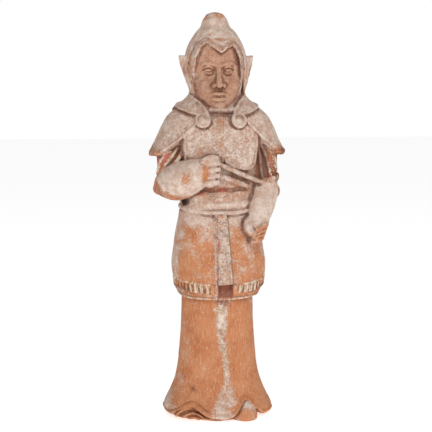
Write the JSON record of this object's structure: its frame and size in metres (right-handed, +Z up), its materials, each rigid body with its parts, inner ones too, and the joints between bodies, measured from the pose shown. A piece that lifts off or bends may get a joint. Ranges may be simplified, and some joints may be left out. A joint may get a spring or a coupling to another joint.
{
  "type": "pottery guardian figure",
  "caption": "Standing painted-pottery tomb guardian in a pointed-ear hood, mantle, breastplate and long coat, one fist at the chest, on a thin integral base.",
  "frame": {"origin": "on the flat underside, below the figure's middle line", "axes": "+Z up; the figure faces -Y; +X is the side of the figure's hanging arm"},
  "size_m": [0.1344, 0.0916, 0.4],
  "materials": {
    "painted_pottery": "unglazed orange earthenware, matt, with worn pale pink-grey slip and traces of red pigment"
  },
  "bodies": {
    "root": {"guardian_figure": "painted_pottery"}
  },
  "joints": []
}
